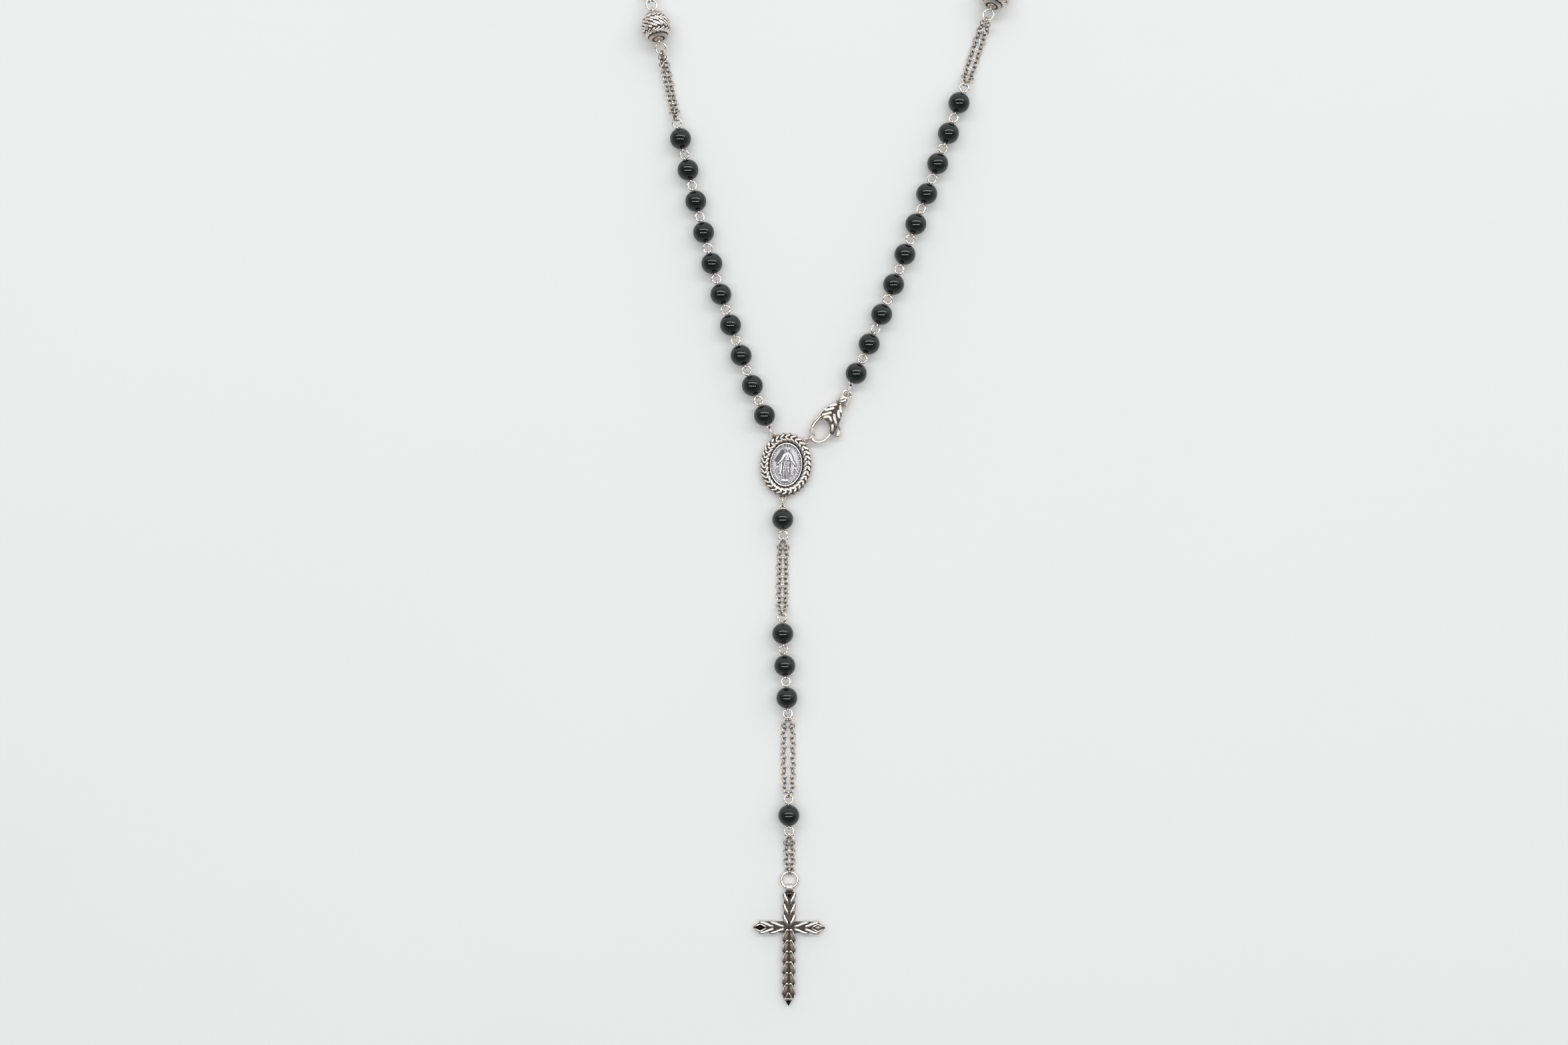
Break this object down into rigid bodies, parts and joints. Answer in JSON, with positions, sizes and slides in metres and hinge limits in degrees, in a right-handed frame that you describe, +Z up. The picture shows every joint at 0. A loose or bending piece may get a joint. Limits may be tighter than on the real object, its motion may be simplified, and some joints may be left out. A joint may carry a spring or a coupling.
{
  "type": "rosary",
  "caption": "Rosary of black stone beads on silver pins and rings, with an oval medal, a lobster clasp, double chain runs, ornamented balls and a hanging cross.",
  "frame": {"origin": "centre of the medal's flat back face, which lies on the table", "axes": "+Z up off the table through the medal, +Y up the loop away from the cross, +X to the clasp side"},
  "size_m": [0.1481, 0.4576, 0.0087],
  "materials": {
    "onyx": "polished black stone, opaque",
    "oxidised_silver": "cast silver, polished high points over blackened recesses",
    "struck_silver": "bright struck silver with greyed recesses",
    "polished_silver": "polished silver wire",
    "chain_silver": "fine silver chain, slightly tarnished between links"
  },
  "bodies": {
    "medal": {"medal_frame": "oxidised_silver", "medal_insert": "struck_silver"},
    "bead_left_01": {"bead_left_01": "onyx"},
    "bead_left_02": {"bead_left_02": "onyx"},
    "bead_left_03": {"bead_left_03": "onyx"},
    "bead_left_04": {"bead_left_04": "onyx"},
    "bead_left_05": {"bead_left_05": "onyx"},
    "bead_left_06": {"bead_left_06": "onyx"},
    "bead_left_07": {"bead_left_07": "onyx"},
    "bead_left_08": {"bead_left_08": "onyx"},
    "bead_left_09": {"bead_left_09": "onyx"},
    "bead_left_10": {"bead_left_10": "onyx"},
    "chain_left_1": {"chain_left_1_1": "chain_silver", "chain_left_1_2": "chain_silver"},
    "ball_left_1": {"ball_left_1": "oxidised_silver"},
    "chain_left_2": {"chain_left_2": "chain_silver"},
    "decade_left_lower": {"decade_left_lower": "onyx"},
    "decade_left_upper": {"decade_left_upper": "onyx"},
    "chain_left_3": {"chain_left_3": "chain_silver"},
    "ball_left_2": {"ball_left_2": "oxidised_silver"},
    "chain_left_4": {"chain_left_4": "chain_silver"},
    "decade_top_left": {"decade_top_left": "onyx"},
    "clasp_ring": {"clasp_ring": "polished_silver"},
    "clasp": {"clasp_body": "oxidised_silver", "clasp_pin": "polished_silver", "clasp_spring": "polished_silver"},
    "clasp_lever": {"clasp_lever": "polished_silver"},
    "clasp_swivel": {"clasp_swivel": "polished_silver"},
    "bead_right_01": {"bead_right_01": "onyx"},
    "bead_right_02": {"bead_right_02": "onyx"},
    "bead_right_03": {"bead_right_03": "onyx"},
    "bead_right_04": {"bead_right_04": "onyx"},
    "bead_right_05": {"bead_right_05": "onyx"},
    "bead_right_06": {"bead_right_06": "onyx"},
    "bead_right_07": {"bead_right_07": "onyx"},
    "bead_right_08": {"bead_right_08": "onyx"},
    "bead_right_09": {"bead_right_09": "onyx"},
    "bead_right_10": {"bead_right_10": "onyx"},
    "chain_right_1": {"chain_right_1_1": "chain_silver", "chain_right_1_2": "chain_silver"},
    "ball_right_1": {"ball_right_1": "oxidised_silver"},
    "chain_right_2": {"chain_right_2": "chain_silver"},
    "decade_right_lower": {"decade_right_lower": "onyx"},
    "decade_right_upper": {"decade_right_upper": "onyx"},
    "chain_right_3": {"chain_right_3": "chain_silver"},
    "ball_right_2": {"ball_right_2": "oxidised_silver"},
    "chain_right_4": {"chain_right_4": "chain_silver"},
    "decade_top_right": {"decade_top_right": "onyx"},
    "bead_pendant_1": {"bead_pendant_1": "onyx"},
    "chain_pendant_upper": {"chain_pendant_upper_1": "chain_silver", "chain_pendant_upper_2": "chain_silver"},
    "bead_pendant_2": {"bead_pendant_2": "onyx"},
    "bead_pendant_3": {"bead_pendant_3": "onyx"},
    "bead_pendant_4": {"bead_pendant_4": "onyx"},
    "chain_pendant_middle": {"chain_pendant_middle_1": "chain_silver", "chain_pendant_middle_2": "chain_silver"},
    "bead_pendant_5": {"bead_pendant_5": "onyx"},
    "chain_pendant_lower": {"chain_pendant_lower": "chain_silver"},
    "cross_ring": {"cross_ring": "polished_silver"},
    "cross": {"cross": "oxidised_silver"}
  },
  "joints": [
    {"name": "bead_left_01_swing", "type": "hinge", "parent": "medal", "child": "bead_left_01", "pos_m": [-0.00375, 0.0083, 0.0018], "axis": [0, 0, 1], "range_deg": [0, 25]},
    {"name": "bead_left_02_lift", "type": "hinge", "parent": "bead_left_01", "child": "bead_left_02", "pos_m": [-0.00733, 0.01689, 0.00305], "axis": [0.9301, 0.3673, 0], "range_deg": [0, 30]},
    {"name": "bead_left_03_swing", "type": "hinge", "parent": "bead_left_02", "child": "bead_left_03", "pos_m": [-0.01065, 0.02531, 0.00305], "axis": [0, 0, -1], "range_deg": [-18, 0]},
    {"name": "bead_left_04_lift", "type": "hinge", "parent": "bead_left_03", "child": "bead_left_04", "pos_m": [-0.01376, 0.03381, 0.00305], "axis": [-0.9479, -0.3186, 0], "range_deg": [-30, 0]},
    {"name": "bead_left_05_swing", "type": "hinge", "parent": "bead_left_04", "child": "bead_left_05", "pos_m": [-0.01664, 0.04239, 0.00305], "axis": [0, 0, 1], "range_deg": [0, 18]},
    {"name": "bead_left_06_lift", "type": "hinge", "parent": "bead_left_05", "child": "bead_left_06", "pos_m": [-0.01929, 0.05104, 0.00305], "axis": [0.9625, 0.2714, 0], "range_deg": [0, 30]},
    {"name": "bead_left_07_swing", "type": "hinge", "parent": "bead_left_06", "child": "bead_left_07", "pos_m": [-0.02174, 0.05975, 0.00305], "axis": [0, 0, -1], "range_deg": [-18, 0]},
    {"name": "bead_left_08_lift", "type": "hinge", "parent": "bead_left_07", "child": "bead_left_08", "pos_m": [-0.02399, 0.06852, 0.00305], "axis": [-0.9705, -0.2413, 0], "range_deg": [-30, 0]},
    {"name": "bead_left_09_swing", "type": "hinge", "parent": "bead_left_08", "child": "bead_left_09", "pos_m": [-0.02618, 0.0773, 0.00305], "axis": [0, 0, 1], "range_deg": [0, 18]},
    {"name": "bead_left_10_lift", "type": "hinge", "parent": "bead_left_09", "child": "bead_left_10", "pos_m": [-0.02836, 0.08608, 0.00305], "axis": [0.9739, 0.2269, 0], "range_deg": [0, 30]},
    {"name": "chain_left_1_swing", "type": "hinge", "parent": "bead_left_10", "child": "chain_left_1", "pos_m": [-0.03097, 0.09727, 0.00305], "axis": [0, 0, -1], "range_deg": [-18, 0]},
    {"name": "ball_left_1_lift", "type": "hinge", "parent": "chain_left_1", "child": "ball_left_1", "pos_m": [-0.03488, 0.11539, 0.0044], "axis": [-0.9782, -0.2075, 0], "range_deg": [-30, 0]},
    {"name": "chain_left_2_swing", "type": "hinge", "parent": "ball_left_1", "child": "chain_left_2", "pos_m": [-0.03808, 0.13049, 0.0044], "axis": [0, 0, 1], "range_deg": [0, 18]},
    {"name": "decade_left_lower_lift", "type": "hinge", "parent": "chain_left_2", "child": "decade_left_lower", "pos_m": [-0.04192, 0.14863, 0.00305], "axis": [0.9809, 0.1947, 0], "range_deg": [0, 30]},
    {"name": "decade_left_upper_swing", "type": "hinge", "parent": "decade_left_lower", "child": "decade_left_upper", "pos_m": [-0.05073, 0.19301, 0.00305], "axis": [0, 0, -1], "range_deg": [-18, 0]},
    {"name": "chain_left_3_lift", "type": "hinge", "parent": "decade_left_upper", "child": "chain_left_3", "pos_m": [-0.05105, 0.2407, 0.00305], "axis": [-0.9441, 0.3298, 0], "range_deg": [-30, 0]},
    {"name": "ball_left_2_swing", "type": "hinge", "parent": "chain_left_3", "child": "ball_left_2", "pos_m": [-0.04493, 0.2582, 0.0044], "axis": [0, 0, 1], "range_deg": [0, 18]},
    {"name": "chain_left_4_lift", "type": "hinge", "parent": "ball_left_2", "child": "chain_left_4", "pos_m": [-0.0371, 0.2715, 0.0044], "axis": [0.7257, -0.688, 0], "range_deg": [0, 30]},
    {"name": "decade_top_left_swing", "type": "hinge", "parent": "chain_left_4", "child": "decade_top_left", "pos_m": [-0.02435, 0.28496, 0.00305], "axis": [0, 0, -1], "range_deg": [-18, 0]},
    {"name": "clasp_ring_swing", "type": "hinge", "parent": "medal", "child": "clasp_ring", "pos_m": [0.00585, 0.0067, 0.0018], "axis": [0, 0, -1], "range_deg": [0, 15]},
    {"name": "clasp_lift", "type": "hinge", "parent": "clasp_ring", "child": "clasp", "pos_m": [0.00709, 0.00777, 0.00185], "axis": [0.8634, -0.5045, 0], "range_deg": [0, 30]},
    {"name": "clasp_lever_press", "type": "hinge", "parent": "clasp", "child": "clasp_lever", "pos_m": [0.01108, 0.014, 0.00185], "axis": [0, 0, 1], "range_deg": [0, 14], "stiffness_Nm_per_rad": 0.002, "springref_deg": -11.46},
    {"name": "clasp_swivel_turn", "type": "hinge", "parent": "clasp", "child": "clasp_swivel", "pos_m": [0.01081, 0.00907, 0.00185], "axis": [0.5045, 0.8634, 0], "continuous": true},
    {"name": "bead_right_01_swing", "type": "hinge", "parent": "clasp_swivel", "child": "bead_right_01", "pos_m": [0.01728, 0.02017, 0.0018], "axis": [0, 0, -1], "range_deg": [0, 25]},
    {"name": "bead_right_02_lift", "type": "hinge", "parent": "bead_right_01", "child": "bead_right_02", "pos_m": [0.0211, 0.02866, 0.00305], "axis": [0.9177, -0.3972, 0], "range_deg": [0, 30]},
    {"name": "bead_right_03_swing", "type": "hinge", "parent": "bead_right_02", "child": "bead_right_03", "pos_m": [0.02469, 0.03696, 0.00305], "axis": [0, 0, 1], "range_deg": [-18, 0]},
    {"name": "bead_right_04_lift", "type": "hinge", "parent": "bead_right_03", "child": "bead_right_04", "pos_m": [0.02816, 0.04532, 0.00305], "axis": [-0.9315, 0.3638, 0], "range_deg": [-30, 0]},
    {"name": "bead_right_05_swing", "type": "hinge", "parent": "bead_right_04", "child": "bead_right_05", "pos_m": [0.03146, 0.05375, 0.00305], "axis": [0, 0, -1], "range_deg": [0, 18]},
    {"name": "bead_right_06_lift", "type": "hinge", "parent": "bead_right_05", "child": "bead_right_06", "pos_m": [0.03458, 0.06224, 0.00305], "axis": [0.9413, -0.3377, 0], "range_deg": [0, 30]},
    {"name": "bead_right_07_swing", "type": "hinge", "parent": "bead_right_06", "child": "bead_right_07", "pos_m": [0.03763, 0.07076, 0.00305], "axis": [0, 0, 1], "range_deg": [-18, 0]},
    {"name": "bead_right_08_lift", "type": "hinge", "parent": "bead_right_07", "child": "bead_right_08", "pos_m": [0.0407, 0.07928, 0.00305], "axis": [-0.9407, 0.3391, 0], "range_deg": [-30, 0]},
    {"name": "bead_right_09_swing", "type": "hinge", "parent": "bead_right_08", "child": "bead_right_09", "pos_m": [0.04377, 0.08779, 0.00305], "axis": [0, 0, -1], "range_deg": [0, 18]},
    {"name": "bead_right_10_lift", "type": "hinge", "parent": "bead_right_09", "child": "bead_right_10", "pos_m": [0.0468, 0.09632, 0.00305], "axis": [0.9463, -0.3234, 0], "range_deg": [0, 30]},
    {"name": "chain_right_1_swing", "type": "hinge", "parent": "bead_right_10", "child": "chain_right_1", "pos_m": [0.05052, 0.10719, 0.00305], "axis": [0, 0, 1], "range_deg": [-18, 0]},
    {"name": "ball_right_1_lift", "type": "hinge", "parent": "chain_right_1", "child": "ball_right_1", "pos_m": [0.05631, 0.1248, 0.0044], "axis": [-0.9388, 0.3444, 0], "range_deg": [-30, 0]},
    {"name": "chain_right_2_swing", "type": "hinge", "parent": "ball_right_1", "child": "chain_right_2", "pos_m": [0.06163, 0.13929, 0.0044], "axis": [0, 0, -1], "range_deg": [0, 18]},
    {"name": "decade_right_lower_lift", "type": "hinge", "parent": "chain_right_2", "child": "decade_right_lower", "pos_m": [0.06849, 0.15651, 0.00305], "axis": [0.9259, -0.3778, 0], "range_deg": [0, 30]},
    {"name": "decade_right_upper_swing", "type": "hinge", "parent": "decade_right_lower", "child": "decade_right_upper", "pos_m": [0.08558, 0.19841, 0.00305], "axis": [0, 0, 1], "range_deg": [-18, 0]},
    {"name": "chain_right_3_lift", "type": "hinge", "parent": "decade_right_upper", "child": "chain_right_3", "pos_m": [0.09188, 0.24568, 0.00305], "axis": [-0.9451, -0.3268, 0], "range_deg": [-30, 0]},
    {"name": "ball_right_2_swing", "type": "hinge", "parent": "chain_right_3", "child": "ball_right_2", "pos_m": [0.08583, 0.2632, 0.0044], "axis": [0, 0, -1], "range_deg": [0, 18]},
    {"name": "chain_right_4_lift", "type": "hinge", "parent": "ball_right_2", "child": "chain_right_4", "pos_m": [0.07751, 0.2762, 0.0044], "axis": [0.6963, 0.7177, 0], "range_deg": [0, 30]},
    {"name": "decade_top_right_swing", "type": "hinge", "parent": "chain_right_4", "child": "decade_top_right", "pos_m": [0.0642, 0.28911, 0.00305], "axis": [0, 0, 1], "range_deg": [-18, 0]},
    {"name": "bead_pendant_1_swing", "type": "hinge", "parent": "medal", "child": "bead_pendant_1", "pos_m": [-0.001, -0.0094, 0.0018], "axis": [0, 0, 1], "range_deg": [-40, 40]},
    {"name": "chain_pendant_upper_lift", "type": "hinge", "parent": "bead_pendant_1", "child": "chain_pendant_upper", "pos_m": [-0.0008, -0.02114, 0.00305], "axis": [-0.9999, 0.0146, 0], "range_deg": [0, 40]},
    {"name": "bead_pendant_2_swing", "type": "hinge", "parent": "chain_pendant_upper", "child": "bead_pendant_2", "pos_m": [-0.0011, -0.04184, 0.00305], "axis": [0, 0, -1], "range_deg": [-18, 18]},
    {"name": "bead_pendant_3_lift", "type": "hinge", "parent": "bead_pendant_2", "child": "bead_pendant_3", "pos_m": [-0.00079, -0.05089, 0.00305], "axis": [0.9969, 0.0791, 0], "range_deg": [-40, 0]},
    {"name": "bead_pendant_4_swing", "type": "hinge", "parent": "bead_pendant_3", "child": "bead_pendant_4", "pos_m": [-0.00007, -0.05991, 0.00305], "axis": [0, 0, 1], "range_deg": [-18, 18]},
    {"name": "chain_pendant_middle_lift", "type": "hinge", "parent": "bead_pendant_4", "child": "chain_pendant_middle", "pos_m": [0.00056, -0.07138, 0.00305], "axis": [-1, -0.0058, 0], "range_deg": [0, 40]},
    {"name": "bead_pendant_5_swing", "type": "hinge", "parent": "chain_pendant_middle", "child": "bead_pendant_5", "pos_m": [0.00069, -0.09298, 0.00305], "axis": [0, 0, -1], "range_deg": [-18, 18]},
    {"name": "chain_pendant_lower_lift", "type": "hinge", "parent": "bead_pendant_5", "child": "chain_pendant_lower", "pos_m": [0.00088, -0.10447, 0.00305], "axis": [0.9999, 0.0114, 0], "range_deg": [-40, 0]},
    {"name": "cross_ring_swing", "type": "hinge", "parent": "chain_pendant_lower", "child": "cross_ring", "pos_m": [0.001, -0.11492, 0.00105], "axis": [0, 0, 1], "range_deg": [-20, 20]},
    {"name": "cross_lift", "type": "hinge", "parent": "cross_ring", "child": "cross", "pos_m": [0.00099, -0.11945, 0.00105], "axis": [-1, 0.0088, 0], "range_deg": [0, 60]}
  ]
}
